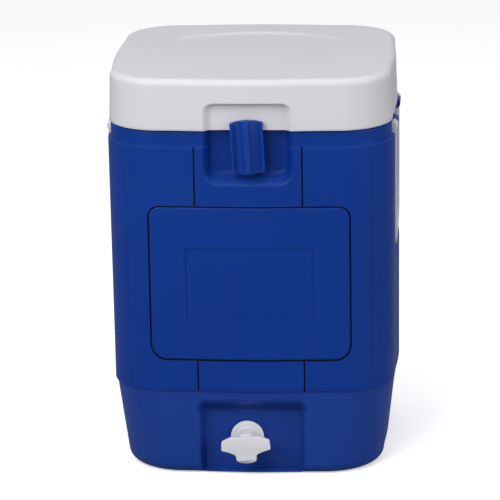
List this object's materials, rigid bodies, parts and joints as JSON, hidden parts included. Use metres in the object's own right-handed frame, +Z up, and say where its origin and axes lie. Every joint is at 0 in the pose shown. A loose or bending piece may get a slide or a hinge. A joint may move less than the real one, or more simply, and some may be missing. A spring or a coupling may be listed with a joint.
{
  "type": "insulated drink dispenser",
  "caption": "Upright insulated drink dispenser with hinged lid, quarter-turn latch, clip-in front panel, side bail handles and a turning tap in a front recess.",
  "frame": {"origin": "on the floor, under the middle of the body, on the flat underside of the base moulding", "axes": "+Z up, front with the tap and latch faces -Y, +X to the right seen from the front"},
  "size_m": [0.384, 0.3811, 0.539],
  "materials": {
    "blue_shell": "satin",
    "blue_latch": "satin",
    "white_lid": "satin",
    "white_liner": "satin",
    "white_tap": "gloss",
    "white_handle": "satin",
    "white_hinge": "satin",
    "insulation_foam": "matte",
    "grey_rubber": "matte",
    "steel": "satin"
  },
  "bodies": {
    "body": {"base_moulding": "blue_shell", "outer_shell": "blue_shell", "body_foam": "insulation_foam", "inner_liner": "white_liner", "front_panel": "blue_shell", "latch_post": "steel", "tap_body": "white_tap", "tap_gasket": "grey_rubber", "tap_washer": "grey_rubber", "tap_nut": "white_tap", "hinge_body_leaf_left": "white_hinge", "hinge_pin_left": "steel", "body_leaf_screw_left_a": "steel", "body_leaf_screw_left_b": "steel", "handle_pin_left_front": "white_handle", "handle_pin_left_rear": "white_handle", "hinge_body_leaf_right": "white_hinge", "hinge_pin_right": "steel", "body_leaf_screw_right_a": "steel", "body_leaf_screw_right_b": "steel", "handle_pin_right_front": "white_handle", "handle_pin_right_rear": "white_handle"},
    "lid": {"lid_shell": "white_lid", "lid_liner": "white_liner", "lid_foam": "insulation_foam", "lid_gasket": "grey_rubber", "hinge_lid_leaf_left": "white_hinge", "lid_leaf_screw_left_a": "steel", "lid_leaf_screw_left_b": "steel", "hinge_lid_leaf_right": "white_hinge", "lid_leaf_screw_right_a": "steel", "lid_leaf_screw_right_b": "steel"},
    "latch": {"latch": "blue_latch"},
    "tap_valve": {"tap_handle": "white_tap", "tap_plug": "white_tap", "tap_o_ring": "grey_rubber"},
    "handle_left": {"handle_left": "white_handle"},
    "handle_right": {"handle_right": "white_handle"}
  },
  "joints": [
    {"name": "lid_hinge", "type": "hinge", "parent": "body", "child": "lid", "pos_m": [0, 0.185, 0.47], "axis": [-1, 0, 0], "range_deg": [0, 105]},
    {"name": "latch_turn", "type": "hinge", "parent": "body", "child": "latch", "pos_m": [0, -0.175, 0.4498], "axis": [0, 1, 0], "range_deg": [-90, 90]},
    {"name": "tap_turn", "type": "hinge", "parent": "body", "child": "tap_valve", "pos_m": [-0.0075, -0.175, 0.0485], "axis": [0, 1, 0], "range_deg": [0, 90]},
    {"name": "handle_left_swing", "type": "hinge", "parent": "body", "child": "handle_left", "pos_m": [-0.1855, 0, 0.457], "axis": [0, 1, 0], "range_deg": [0, 90]},
    {"name": "handle_right_swing", "type": "hinge", "parent": "body", "child": "handle_right", "pos_m": [0.1855, 0, 0.457], "axis": [0, -1, 0], "range_deg": [0, 90]}
  ]
}
